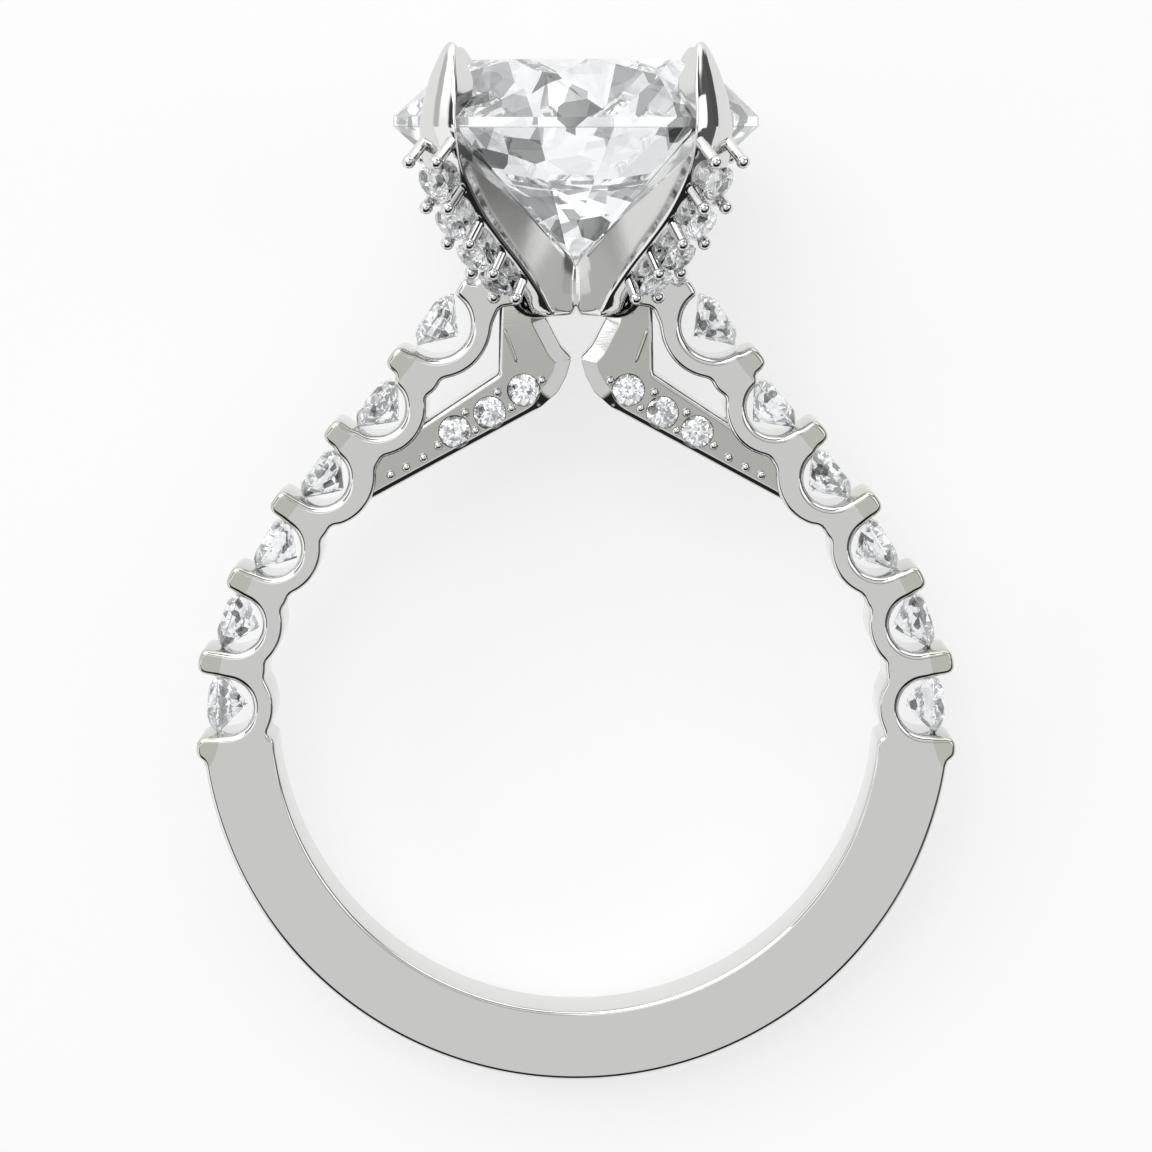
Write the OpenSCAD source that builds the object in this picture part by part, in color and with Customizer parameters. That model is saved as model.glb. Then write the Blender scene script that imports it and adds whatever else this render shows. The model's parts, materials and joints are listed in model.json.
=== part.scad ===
/* [Finger hole and shank] */
// Diameter of the finger hole
hole_d = 16.5; // [15:0.1:19]
// Thickness of the shank from the finger hole outward
shank_t = 1.97; // [1.6:0.01:2.2]
// Width along the finger at the height of the hole's centre
band_w = 1.8; // [1.5:0.05:2.4]
// Extra width for each millimetre up towards the head
band_taper = 0.032; // [0:0.001:0.05]

/* [Shoulders] */
// Diameter of a shoulder stone
shoulder_stone_d = 1.72; // [1.5:0.01:1.8]
// Inner radius of the U cups that the stones sit in
cup_r = 0.78; // [0.7:0.01:0.85]
// Metal left around a cup, seen through the finger hole
cup_wall = 0.57; // [0.45:0.01:0.7]
// Width of a prong between two shoulder stones
prong_w = 0.7; // [0.6:0.01:0.8]

/* [Bridges] */
// Width of the bridge bars along the finger
bridge_w = 1.76; // [1.4:0.02:1.8]
// Diameter of a stone in the bridge bars
bridge_stone_d = 0.86; // [0.7:0.01:0.9]
// Diameter of the grain beads beside those stones
bead_d = 0.26; // [0.2:0.01:0.3]

/* [Centre stone] */
// Diameter of the centre stone
centre_stone_d = 9.94; // [9.8:0.01:10]
// Height of the girdle's lower edge above the hole's centre
girdle_z = 16.03; // [16:0.01:16.06]
// Diameter of the table as a share of the stone's
table_share = 0.6; // [0.54:0.01:0.64]

/* [Claws] */
// Width of a claw where its stones sit
claw_w = 1.42; // [1.3:0.01:1.5]
// Diameter of a stone on the claws
claw_stone_d = 1.0; // [0.85:0.01:1.04]
// Diameter of the studs that hold those stones
stud_d = 0.25; // [0.2:0.01:0.3]
// Diameter of a stud's round end
stud_ball_d = 0.3; // [0.26:0.01:0.36]

/* [Hidden] */
$fn = 64;
// Gap that every stone keeps from the metal
gap = 0.02;
hole_r = hole_d / 2;
shank_r = hole_r + shank_t;

// Shoulder stations from the head down: cup centre, lean of its opening above level,
// inner radius, how far the girdle stands outside the centre, height of the prong below it
CUPS = [
    [3.75, 10.75, 35, cup_r + 0.14, 0.07, 0.52],
    [5.38, 8.50, 40, cup_r, 0.02, 0.67],
    [6.93, 6.58, 37, cup_r, 0.02, 0.71],
    [8.24, 4.65, 32, cup_r, 0.04, 0.72],
    [9.30, 2.56, 19, cup_r, 0.10, 0.85],
    [9.58, 0.26, 3, cup_r, 0.20, 0.65]
];
function cup_at(i) = [CUPS[i][0], CUPS[i][1]];
function cup_lean(i) = CUPS[i][2];
function cup_inner(i) = CUPS[i][3];
function girdle_lift(i) = CUPS[i][4];
function prong_height(i) = CUPS[i][5];
cups = len(CUPS);
last = cups - 1;

// A prong stands halfway to the next cup, and the last one as far past the last cup
function prong_base(i) = i < last ? (cup_at(i) + cup_at(i + 1)) / 2
    : cup_at(last) + (cup_at(last) - cup_at(last - 1)) / 2;
function prong_lean(i) = i < last ? (cup_lean(i) + cup_lean(i + 1)) / 2 : 0;
prong_round = 0.2;
prong_root = 0.6;

// The metal between two cups on the finger's side
web_r = 0.6;
web_in = 0.42;

// The shank's outer flank runs straight from the last prong into the outer circle
flank_top = [9.95, -1.2];
flank_foot = [9.62, -3.45];
shank_top_z = -0.55;

// The arms of a cup reach this far past its centre, and the last prong is this much slimmer
cup_rim = 0.1;
last_prong_trim = 0.08;
cup_flare = 0.05;

// Outline of a bridge: lower edge, pointed inner tip, post, and the bar's upper edge
BRIDGE = [
    [5.04, 6.25], [0.98, 8.46], [0.49, 8.90], [0.27, 9.31], [0.13, 9.80], [0.43, 10.13],
    [0.84, 10.92], [0.84, 11.50], [2.05, 11.60], [2.10, 9.40], [3.68, 8.35], [5.12, 7.40]
];
BRIDGE_STONES = [[1.41, 8.96], [2.33, 8.35], [3.27, 7.83]];
BEADS = [
    [0.92, 9.22], [2.12, 8.90], [1.74, 8.47], [2.99, 8.35], [2.71, 7.86], [3.72, 7.46],
    [4.12, 7.13], [4.58, 6.87], [5.00, 6.66]
];
bridge_stone_sink = 0.04;

// The upper arm of the first cup rises into the head
HEAD_ARM = [
    [2.30, 10.60], [2.86, 10.60], [2.74, 11.60], [2.60, 12.10], [1.00, 12.00], [1.00, 11.30],
    [2.05, 11.20]
];

// Proportions of a round brilliant, as shares of its diameter
crown_share = 0.151;
girdle_share = 0.027;
pavilion_share = 0.435;
star_length = 0.5;
lower_length = 0.24;

// Distance from the axis of a star facet's outer tip, and how far it lies below the table
function star_r(r) = table_share * r * cos(22.5) * (1 - star_length) + star_length * r;
function star_drop(r) = (star_r(r) * cos(22.5) - table_share * r) * 2 * crown_share / (1 - table_share);
// The same for a lower half's inner tip, and how far it lies above the culet
function lower_r(r) = lower_length * r;
function lower_rise(r) = lower_r(r) * cos(22.5) * 2 * pavilion_share;

// Claw profile in its own upright plane: distance from the head's axis and height
CLAW_OUTER = [
    [1.60, 10.95], [2.06, 11.50], [2.79, 12.28], [3.52, 12.98], [4.22, 13.72], [4.60, 14.25],
    [4.92, 14.85], [5.10, 15.57], [5.17, 16.10], [5.08, 16.80], [4.94, 17.40], [4.76, 17.95],
    [4.61, 18.24]
];
CLAW_INNER = [
    [4.47, 18.12], [4.38, 17.75], [4.22, 17.40], [4.22, 17.00], [4.40, 16.80], [4.30, 16.20],
    [0.40, 12.60], [0.00, 12.30], [0.00, 11.05], [1.30, 11.05]
];
// Half the claw's width as a share of claw_w, against height
CLAW_WIDTH = [
    [0.43, 10.90], [0.48, 11.60], [0.50, 12.40], [0.50, 15.60], [0.47, 16.40], [0.41, 16.95],
    [0.30, 17.50], [0.18, 18.00], [0.11, 18.30]
];
cup_base_r = 1.05;
cup_base_z = [11.15, 12.42];

// Claw stones from the top down: distance of the girdle from the axis, height, lean below level
CLAW_STONES = [[5.21, 14.58, 30], [4.60, 13.50, 39], [3.83, 12.63, 46], [3.00, 11.92, 50]];
// Studs from the top down: the same for the round end, with half the spread of the pair
STUDS = [
    [5.60, 15.14, 43, 0.52], [5.10, 13.95, 48, 0.42], [4.35, 13.00, 54, 0.42],
    [3.50, 12.20, 58, 0.42], [2.68, 11.52, 62, 0.42]
];
stud_l = 0.85;
claw_reach = 7;
claw_back = 0.1;

// How far a seat stays open above its girdle, and how many gaps deep it is cut below the culet
small_seat_open = 0.6;
centre_seat_open = 1.6;
culet_gaps = 1.6;
bead_fn = 24;
CLAW_TURNS = [225, 315, 45, 135];
CLAW_NAMES = ["front_left", "front_right", "back_right", "back_left"];
SIDES = ["left", "right"];
FACES = ["front", "back"];

// Half the band's width along the finger at a height
function half_w(z) = (band_w + band_taper * z) / 2;

// The ring lies on the lower girdle edge of its centre stone and on the shank's rim
girdle_flat_y = centre_stone_d / 2 * cos(180 / 16);
rest_tilt = atan2(girdle_flat_y - half_w(-shank_r), girdle_z + shank_r);
rest_lift = girdle_flat_y * cos(rest_tilt) - girdle_z * sin(rest_tilt);
tip = CLAW_OUTER[len(CLAW_OUTER) - 1];
tip_half_w = CLAW_WIDTH[len(CLAW_WIDTH) - 1][0] * claw_w;
tip_y = (tip[0] + tip_half_w) * sin(45);
far_y = tip[1] * cos(rest_tilt) + tip_y * sin(rest_tilt);
near_y = -shank_r * cos(rest_tilt) - half_w(-shank_r) * sin(rest_tilt);
rest_shift = (far_y + near_y) / 2;

metal = [0.80, 0.80, 0.79];
diamond = [0.86, 0.93, 0.97];

// From the upright ring, with the finger hole along Y, to the ring at rest on Z = 0
module at_rest() {
    translate([0, -rest_shift, rest_lift])
        rotate([rest_tilt - 90, 0, 0])
            children();
}

// Stands a flat outline up in the ring's plane, centred along the finger
module across_finger(w) {
    rotate([90, 0, 0])
        linear_extrude(height = w, center = true)
            children();
}

// The left side is drawn as the mirror of the right
module on_side(s) {
    if (s == "left")
        mirror([1, 0, 0]) children();
    else
        children();
}

// A cup's own flat frame: X up along the band, Y outward through the opening
module cup_frame(i) {
    translate(cup_at(i))
        rotate(cup_lean(i) - 90)
            children();
}

module cup_wall_outline(i) {
    r = cup_inner(i) + cup_wall;
    cup_frame(i)
        intersection() {
            circle(r);
            translate([-r, -r]) square([2 * r, r + cup_rim]);
        }
}

module cup_opening(i) {
    r = cup_inner(i);
    reach = 2;
    cup_frame(i) {
        circle(r);
        polygon([[-r, 0], [r, 0], [r + cup_flare, reach], [-r - cup_flare, reach]]);
    }
}

module prong_outline(i) {
    h = prong_height(i);
    w = i < last ? prong_w : prong_w - last_prong_trim;
    corner = w / 2 - prong_round;
    translate(prong_base(i))
        rotate(prong_lean(i) - 90) {
            translate([-w / 2, -prong_root]) square([w, prong_root + h - prong_round]);
            translate([-corner, -prong_root]) square([2 * corner, prong_root + h]);
            for (x = [-corner, corner])
                translate([x, h - prong_round]) circle(prong_round);
        }
}

module web_outline(i) {
    out = [cos(prong_lean(i)), sin(prong_lean(i))];
    translate(prong_base(i) - web_in * out) circle(web_r);
}

module shoulder_outline() {
    difference() {
        union() {
            for (i = [0:last]) {
                cup_wall_outline(i);
                prong_outline(i);
            }
            for (i = [0:last - 1]) web_outline(i);
            polygon(HEAD_ARM);
        }
        for (i = [0:last]) cup_opening(i);
    }
}

module shank_outline() {
    reach = shank_r + 1;
    difference() {
        circle(shank_r);
        circle(hole_r);
        translate([-reach, shank_top_z]) square([2 * reach, reach - shank_top_z]);
        for (m = [0, 1])
            mirror([m, 0])
                polygon([flank_foot, flank_top, [flank_top[0], 0], [reach, 0], [reach, -reach]]);
    }
}

// The band's faces lean together towards the bottom of the ring
module band_taper_body() {
    low = -shank_r - 0.5;
    high = 13;
    rotate([90, 0, 90])
        linear_extrude(height = 2 * shank_r + 2, center = true)
            polygon([
                [-half_w(low), low], [half_w(low), low], [half_w(high), high], [-half_w(high), high]
            ]);
}

module band() {
    intersection() {
        band_taper_body();
        across_finger(band_w + 1) {
            shank_outline();
            shoulder_outline();
            mirror([1, 0]) shoulder_outline();
        }
    }
}

module bridge() {
    across_finger(bridge_w)
        difference() {
            polygon(BRIDGE);
            for (i = [0:2]) cup_opening(i);
        }
    for (p = BEADS, f = [-1, 1])
        translate([p[0], f * bridge_w / 2, p[1]]) sphere(d = bead_d, $fn = bead_fn);
}

// A claw's own frame has X outward from the head's axis
module claw_frame(turn) {
    rotate([0, 0, turn]) children();
}

module claw_body() {
    intersection() {
        across_finger(2 * claw_w)
            polygon(concat(CLAW_OUTER, CLAW_INNER));
        rotate([90, 0, 90])
            translate([0, 0, -claw_back])
                linear_extrude(height = claw_reach)
                    polygon(concat(
                        [for (p = CLAW_WIDTH) [p[0] * claw_w, p[1]]],
                        [for (k = [len(CLAW_WIDTH) - 1:-1:0])
                            [-CLAW_WIDTH[k][0] * claw_w, CLAW_WIDTH[k][1]]]
                    ));
    }
}

// Turns local Z to the outward normal that leans below level
module outward(p) {
    translate([p[0], 0, p[1]])
        rotate([0, 90 + p[2], 0])
            children();
}

module stud_pair(p) {
    for (side = [-1, 1])
        translate([0, side * p[3], 0])
            outward(p) {
                sphere(d = stud_ball_d, $fn = bead_fn);
                translate([0, 0, -stud_l]) cylinder(d = stud_d, h = stud_l, $fn = bead_fn);
            }
}

module claw() {
    difference() {
        claw_body();
        for (p = CLAW_STONES) outward(p) seat(claw_stone_d);
    }
    for (p = STUDS) stud_pair(p);
}

module head() {
    for (turn = CLAW_TURNS)
        claw_frame(turn) claw();
    translate([0, 0, cup_base_z[0]])
        cylinder(r = cup_base_r, h = cup_base_z[1] - cup_base_z[0]);
}

// The room that a stone takes, with its gap, and an open way above its crown
module seat(d, open = small_seat_open) {
    r = d / 2 + gap;
    girdle = girdle_share * d;
    depth = pavilion_share * d + culet_gaps * gap;
    crown = crown_share * d + gap;
    table = table_share * r;
    rotate_extrude()
        polygon([
            [0, -depth], [lower_r(r), lower_rise(r) - depth], [r, -gap], [r, girdle + gap],
            [star_r(r), girdle + crown - star_drop(r)], [table, girdle + crown],
            [table, girdle + open], [0, girdle + open]
        ]);
}

module ring_mount() {
    color(metal)
        difference() {
            union() {
                band();
                for (s = SIDES) on_side(s) bridge();
                head();
            }
            translate([0, 0, girdle_z]) seat(centre_stone_d, centre_seat_open);
            for (s = SIDES) on_side(s) {
                for (i = [0:last]) shoulder_place(i) seat(shoulder_stone_d);
                for (p = BRIDGE_STONES, f = [-1, 1]) bridge_place(p, f) seat(bridge_stone_d);
            }
        }
}

// A round brilliant: table, 8 stars, 8 kites, 16 upper halves, girdle, 16 lower halves, 8 mains
module brilliant(d) {
    r = d / 2;
    table = table_share * r;
    g = girdle_share * d;
    top = g + crown_share * d;
    low = -pavilion_share * d;
    mid = star_r(r);
    mid_z = top - star_drop(r);
    low_r = lower_r(r);
    low_z = low + lower_rise(r);
    points = concat(
        [for (k = [0:7]) [table * cos(45 * k), table * sin(45 * k), top]],
        [for (k = [0:7]) [mid * cos(45 * k + 22.5), mid * sin(45 * k + 22.5), mid_z]],
        [for (k = [0:15]) [r * cos(22.5 * k), r * sin(22.5 * k), g]],
        [for (k = [0:15]) [r * cos(22.5 * k), r * sin(22.5 * k), 0]],
        [for (k = [0:7]) [low_r * cos(45 * k + 22.5), low_r * sin(45 * k + 22.5), low_z]],
        [[0, 0, low]]
    );
    faces = concat(
        [[for (k = [7:-1:0]) k]],
        [for (k = [0:7]) [k, (k + 1) % 8, 8 + k]],
        [for (k = [0:7]) [k, 8 + k, 16 + 2 * k, 8 + (k + 7) % 8]],
        [for (k = [0:7]) [8 + k, 17 + 2 * k, 16 + 2 * k]],
        [for (k = [0:7]) [8 + k, 16 + (2 * k + 2) % 16, 17 + 2 * k]],
        [for (k = [0:15]) [16 + k, 16 + (k + 1) % 16, 32 + (k + 1) % 16, 32 + k]],
        [for (k = [0:7]) [32 + 2 * k, 33 + 2 * k, 48 + k]],
        [for (k = [0:7]) [33 + 2 * k, 32 + (2 * k + 2) % 16, 48 + k]],
        [for (k = [0:7]) [32 + 2 * k, 48 + k, 56, 48 + (k + 7) % 8]]
    );
    polyhedron(points = points, faces = faces, convexity = 2);
}

module shoulder_place(i) {
    out = [cos(cup_lean(i)), sin(cup_lean(i))];
    p = cup_at(i) + girdle_lift(i) * out;
    translate([p[0], 0, p[1]])
        rotate([0, 90 - cup_lean(i), 0])
            children();
}

module bridge_place(p, f) {
    sunk = bridge_w / 2 - bridge_stone_sink;
    translate([p[0], f * sunk, p[1]])
        rotate([-90 * f, 0, 0])
            children();
}

module centre_stone() {
    color(diamond)
        translate([0, 0, girdle_z])
            rotate([0, 0, 11.25])
                brilliant(centre_stone_d);
}

module shoulder_stone(s, i) {
    color(diamond)
        on_side(s) shoulder_place(i) brilliant(shoulder_stone_d);
}

module claw_stone(c, i) {
    color(diamond)
        claw_frame(CLAW_TURNS[c]) outward(CLAW_STONES[i]) brilliant(claw_stone_d);
}

module bridge_stone(f, s, i) {
    color(diamond)
        on_side(s) bridge_place(BRIDGE_STONES[i], f == "front" ? -1 : 1) brilliant(bridge_stone_d);
}

at_rest() ring_mount();
at_rest() centre_stone();
for (s = SIDES, i = [0:last])
    at_rest() shoulder_stone(s, i);
for (c = [0:3], i = [0:len(CLAW_STONES) - 1])
    at_rest() claw_stone(c, i);
for (f = FACES, s = SIDES, i = [0:len(BRIDGE_STONES) - 1])
    at_rest() bridge_stone(f, s, i);
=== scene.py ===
import json
import math

import bmesh
import bpy
import numpy as np
from bpy.props import FloatProperty, FloatVectorProperty, PointerProperty
from mathutils import Matrix, Vector
from mathutils.geometry import delaunay_2d_cdt

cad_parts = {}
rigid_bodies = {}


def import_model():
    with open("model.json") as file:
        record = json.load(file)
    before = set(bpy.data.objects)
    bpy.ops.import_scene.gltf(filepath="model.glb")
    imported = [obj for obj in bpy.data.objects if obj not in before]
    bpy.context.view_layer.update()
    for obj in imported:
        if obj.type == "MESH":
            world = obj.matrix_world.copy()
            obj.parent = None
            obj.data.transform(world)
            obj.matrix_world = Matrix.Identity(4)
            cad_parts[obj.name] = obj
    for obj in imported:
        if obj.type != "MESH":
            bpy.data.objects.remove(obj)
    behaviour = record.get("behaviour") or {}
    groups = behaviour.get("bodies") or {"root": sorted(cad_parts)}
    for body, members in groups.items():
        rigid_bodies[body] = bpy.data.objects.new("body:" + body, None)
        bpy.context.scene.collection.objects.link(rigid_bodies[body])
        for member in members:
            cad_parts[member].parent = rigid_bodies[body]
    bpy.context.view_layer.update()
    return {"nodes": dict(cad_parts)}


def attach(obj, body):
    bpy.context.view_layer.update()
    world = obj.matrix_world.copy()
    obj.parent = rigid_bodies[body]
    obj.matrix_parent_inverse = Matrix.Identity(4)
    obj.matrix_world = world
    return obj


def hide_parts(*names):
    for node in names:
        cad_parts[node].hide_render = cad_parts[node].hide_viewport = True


bl_info = {
    "name": "Cathedral setting ring",
    "version": (1, 0, 0),
    "blender": (4, 5, 0),
    "location": "View3D > Sidebar > Ring",
    "description": "Dresses the ring's solids with polished metal, stones and a studio",
    "category": "Object",
}

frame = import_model()

# All sizes are in millimetres in the upright ring: X to the right, Y along the finger, Z to the head
MM = 0.001
HOLE_R = 8.25
SHANK_R = 10.22
BAND_WIDTH = 1.8
BAND_WIDENING = 0.032
GIRDLE_R = 4.97
GIRDLE_Z = 16.03
CLAW_TIP_OUT = 4.61 + 0.11 * 1.42
CLAW_TIP_Z = 18.24

# The ring at rest, as the solids have it
GIRDLE_FLAT = GIRDLE_R * math.cos(math.pi / 16)


def half_width(z):
    """Half the band's width along the finger at a height."""
    return (BAND_WIDTH + BAND_WIDENING * z) / 2


REST_TILT = math.atan2(GIRDLE_FLAT - half_width(-SHANK_R), GIRDLE_Z + SHANK_R)
REST_LIFT = GIRDLE_FLAT * math.cos(REST_TILT) - GIRDLE_Z * math.sin(REST_TILT)
TIP_Y = CLAW_TIP_OUT * math.sin(math.pi / 4)
FAR_Y = CLAW_TIP_Z * math.cos(REST_TILT) + TIP_Y * math.sin(REST_TILT)
NEAR_Y = -SHANK_R * math.cos(REST_TILT) - half_width(-SHANK_R) * math.sin(REST_TILT)
AT_REST = (
    Matrix.Translation((0, -(FAR_Y + NEAR_Y) / 2 * MM, REST_LIFT * MM))
    @ Matrix.Rotation(REST_TILT - math.pi / 2, 4, "X")
    @ Matrix.Scale(MM, 4)
)

# Shoulder stations from the head down: cup centre, lean of its opening above level,
# inner radius and height of the prong below it
CUPS = [
    (3.75, 10.75, 35, 0.92, 0.52),
    (5.38, 8.50, 40, 0.78, 0.67),
    (6.93, 6.58, 37, 0.78, 0.71),
    (8.24, 4.65, 32, 0.78, 0.72),
    (9.30, 2.56, 19, 0.78, 0.85),
    (9.58, 0.26, 3, 0.78, 0.65),
]
CUP_WALL = 0.57
CUP_RIM = 0.1
CUP_EXTRA = 0.06
CUP_EDGE_REACH = 0.12
MOUTH_DEPTH = 2.0
MOUTH_FLARE = 0.05
PRONG_W = 0.7
LAST_PRONG_W = PRONG_W - 0.08
PRONG_ROOT = 0.6
PRONG_ROUND = 0.2
WEB_R = 0.6
WEB_DROP = 0.42
TIP_LENGTH = 0.62
TIP_REACH = 0.46
HEAD_ARM = [
    (2.30, 10.60), (2.86, 10.60), (2.74, 11.60), (2.60, 12.10), (1.00, 12.00), (1.00, 11.30),
    (2.05, 11.20),
]
FLANK = [(9.62, -3.45), (9.95, -1.2), (9.95, 0), (11.22, 0), (11.22, -11.22)]
SHANK_TOP = -0.55
SHANK_EDGE_R = 9.7
SHANK_EDGE_TOP = -1.6
BRIDGE_ROOT = (6.83, 6.64, 1.43)
BRIDGE_ROOT_END = 0.33

# Bridge outline, its stones and its beads, as distance from the middle and height
BRIDGE = [
    (5.66, 5.92), (0.98, 8.46), (0.49, 8.90), (0.27, 9.31), (0.13, 9.80), (0.43, 10.13),
    (0.84, 10.92), (0.84, 11.50), (2.05, 11.60), (2.10, 9.40), (3.68, 8.35), (5.66, 7.05),
]
BRIDGE_HALF = 0.88
BRIDGE_STONES = [(1.41, 8.96), (2.33, 8.35), (3.27, 7.83)]
BEADS = [
    (0.92, 9.22), (2.12, 8.90), (1.74, 8.47), (2.99, 8.35), (2.71, 7.86), (3.72, 7.46),
    (4.12, 7.13), (4.58, 6.87), (5.00, 6.66),
]
POST_RIB = [(1.93, 10.62), (1.60, 9.70)]
RIB_R = 0.055
RIB_RISE = 0.7

# A bridge's edges: their rounding, what is added below, and the straight bevel on the post's inner side
BRIDGE_EDGE = 0.12
BRIDGE_UNDER = 0.06
BRIDGE_BEVEL = 0.26
UNDER_FALL = 0.4
BEVEL_FALL = 0.78

# Pits for the bridges' stones. Their walls go in as shares of the radius and depths
PIT_R = 0.455
PIT_DEPTH = 0.43
PIT_WALL = ((1.0, 0.0), (0.985, 0.03), (0.94, 0.05))

# Claw stations from the foot up: outer edge, inner edge (distance from the axis, height), half width
CLAW = [
    ((1.30, 10.98), (0.55, 11.95), 0.66),
    ((1.60, 10.98), (0.75, 12.34), 0.68),
    ((2.06, 11.50), (1.35, 12.87), 0.70),
    ((2.79, 12.28), (2.20, 13.60), 0.71),
    ((3.52, 12.98), (2.95, 14.25), 0.71),
    ((4.22, 13.72), (3.62, 14.84), 0.71),
    ((4.60, 14.25), (4.10, 15.25), 0.71),
    ((4.92, 14.85), (4.52, 15.62), 0.71),
    ((5.10, 15.57), (4.86, 15.92), 0.70),
    ((5.17, 16.10), (4.90, 16.14), 0.68),
    ((5.14, 16.42), (4.82, 16.36), 0.64),
    ((5.08, 16.80), (4.44, 16.72), 0.60),
    ((5.00, 17.15), (4.24, 17.00), 0.54),
    ((4.94, 17.40), (4.20, 17.25), 0.47),
    ((4.84, 17.72), (4.26, 17.55), 0.36),
    ((4.76, 17.95), (4.34, 17.80), 0.27),
    ((4.68, 18.12), (4.43, 18.02), 0.19),
    ((4.61, 18.22), (4.50, 18.14), 0.12),
]
CLAW_TURNS = (225, 315, 45, 135)
CLAW_EDGE = 0.07
CLAW_SOFT_EDGE = 0.12
CLAW_SOFT_Z = 15.4
CLAW_SOFT_RUN = 1.2
CLAW_BACK_EDGE = 0.06
CLAW_CROWN = 0.1
CROWN_SLOPE = math.radians(24)
FOOT_HALF = 0.74
FOOT_TAPER = 0.04
FOOT_COVE = 0.25
FOOT_REACH = 1.8
FOOT_Z = 11.0
FOOT_ARCH = 0.22
FOOT_MIDDLE = 0.2
FOOT_LOW_EDGE = 0.1
FOOT_TOP = 11.7
FOOT_TOP_SLOPE = 0.87
FOOT_TOP_DIP = 0.33
FOOT_TOP_EDGE = 0.12

# Studs from the top down: round end's distance and height, lean below level, half the pair's spread
STUDS = [
    (5.60, 15.14, 43, 0.52), (5.10, 13.95, 48, 0.42), (4.35, 13.00, 54, 0.42),
    (3.50, 12.20, 58, 0.42), (2.68, 11.52, 62, 0.42),
]

# Marks on points of the metal. Above zero is a prong's tip or a bridge's face, which have their own colour
PLAIN, FACING = -9.0, 1.0
FACE_SHARE = 0.97

# Rows of points round an edge, and the margin of flat face inside it that keeps the face's shading flat
EDGE_STEPS = 7
FACE_MARGIN = 0.02


def ramp(value, start, length):
    """0 up to the start, 1 from a length past it, straight between."""
    return np.clip((value - start) / length, 0, 1)


def unit(rows):
    """Each row as a vector of length one."""
    return rows / np.maximum(np.linalg.norm(rows, axis=1, keepdims=True), 1e-9)


# Flat outlines as distance fields on a grid, negative inside

# Which sides of a grid cell the outline crosses, for each set of its corners that lies inside
CROSSINGS = {
    1: ["da"], 2: ["ab"], 3: ["db"], 4: ["bc"], 5: ["da", "bc"], 6: ["ac"], 7: ["dc"],
    8: ["cd"], 9: ["ca"], 10: ["ab", "cd"], 11: ["cb"], 12: ["bd"], 13: ["ba"], 14: ["ad"],
}
SPECK = 30


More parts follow.
